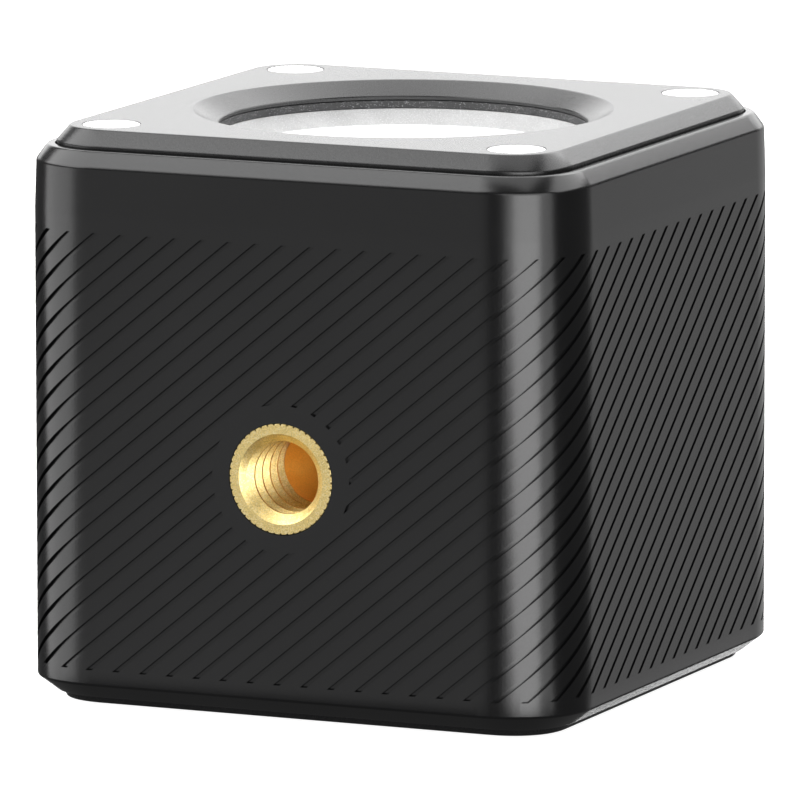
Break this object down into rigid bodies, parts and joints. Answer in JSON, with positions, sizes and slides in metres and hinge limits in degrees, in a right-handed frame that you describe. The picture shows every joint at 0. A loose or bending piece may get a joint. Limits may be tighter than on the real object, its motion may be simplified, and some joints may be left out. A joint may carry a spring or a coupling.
{
  "type": "compact fresnel spotlight",
  "caption": "Palm-size cube-bodied battery spotlight: round recessed lens in a square bezel with corner magnets, tripod socket, push button and hinged port door.",
  "frame": {"origin": "centre of the rear cover's outer face, which the light stands on with its lens up", "axes": "+Z the way the light shines, -Y the tripod socket's side, +Y the power button's side, -X the charging port's side"},
  "size_m": [0.042, 0.042, 0.0407],
  "materials": {
    "body_anodised": "black satin anodised, fine blasted grain",
    "bezel_anodised": "black satin anodised, smoother than the body",
    "magnet_nickel": "bright nickel plate",
    "baffle_paint": "matt dark speckled paint",
    "white_diffuser": "grained white",
    "lens_clear": "frosted front, lit white",
    "black_rubber": "matt silicone",
    "bare_aluminium": "machined",
    "mirror_aluminium": "polished bowl",
    "phosphor": "yellow phosphor",
    "board_white": "white solder mask on aluminium",
    "board_green": "green solder mask",
    "grey_pad": "soft heat pad",
    "steel": "zinc plated",
    "black_steel": "black oxide",
    "brass": "turned and threaded",
    "silver_pouch": "foil pouch",
    "black_foam": "open cell foam",
    "black_plastic": "moulded, fine grain",
    "component_black": "moulded package",
    "component_grey": "sleeved metal can",
    "white_plastic": "moulded nylon",
    "clear_plastic": "clear moulding",
    "red_wire": "silicone insulation",
    "black_wire": "silicone insulation"
  },
  "bodies": {
    "housing": {"body_sleeve": "body_anodised", "rear_cover": "bezel_anodised", "rear_gasket": "black_rubber", "rear_screw_1": "black_steel", "rear_screw_2": "black_steel", "rear_screw_3": "black_steel", "rear_screw_4": "black_steel", "tripod_insert": "brass", "front_bezel": "bezel_anodised", "corner_magnet_1": "magnet_nickel", "corner_magnet_2": "magnet_nickel", "corner_magnet_3": "magnet_nickel", "corner_magnet_4": "magnet_nickel", "bezel_screw_1": "steel", "bezel_screw_2": "steel", "bezel_screw_3": "steel", "bezel_screw_4": "steel", "baffle_ring": "baffle_paint", "lens_dish": "white_diffuser", "fresnel_lens": "lens_clear", "lens_seal": "black_rubber", "reflector_cup": "mirror_aluminium", "led_emitter": "phosphor", "led_board": "board_white", "thermal_pad": "grey_pad", "heat_sink": "bare_aluminium", "heat_sink_screw_1": "steel", "heat_sink_screw_2": "steel", "heat_sink_screw_3": "steel", "heat_sink_screw_4": "steel", "led_board_screw_1": "steel", "led_board_screw_2": "steel", "button_seal": "black_rubber", "tact_switch": "component_black", "control_board": "board_green", "status_led": "white_plastic", "status_light_pipe": "clear_plastic", "usb_socket": "steel", "door_hinge_pin": "steel", "battery_tray": "black_plastic", "battery_cell": "silver_pouch", "battery_foam": "black_foam", "driver_board": "board_green", "driver_board_screw_1": "steel", "driver_board_screw_2": "steel", "inductor": "component_black", "capacitor": "component_grey", "driver_chip": "component_black", "battery_connector": "white_plastic", "battery_wire_positive": "red_wire", "battery_wire_negative": "black_wire", "led_wire_positive": "red_wire", "led_wire_negative": "black_wire"},
    "power_button": {"power_button": "black_plastic", "switch_plunger": "white_plastic"},
    "port_door": {"port_door": "black_rubber", "door_seal": "black_rubber"}
  },
  "joints": [
    {"name": "power_button_press", "type": "slide", "parent": "housing", "child": "power_button", "axis": [0, -1, 0], "range_m": [0, 0.00035], "stiffness_N_per_m": 1500, "springref_m": -0.0005},
    {"name": "port_door_swing", "type": "hinge", "parent": "housing", "child": "port_door", "pos_m": [-0.0201, 0.0063, 0.00783], "axis": [0, 0, -1], "range_deg": [0, 105]}
  ]
}
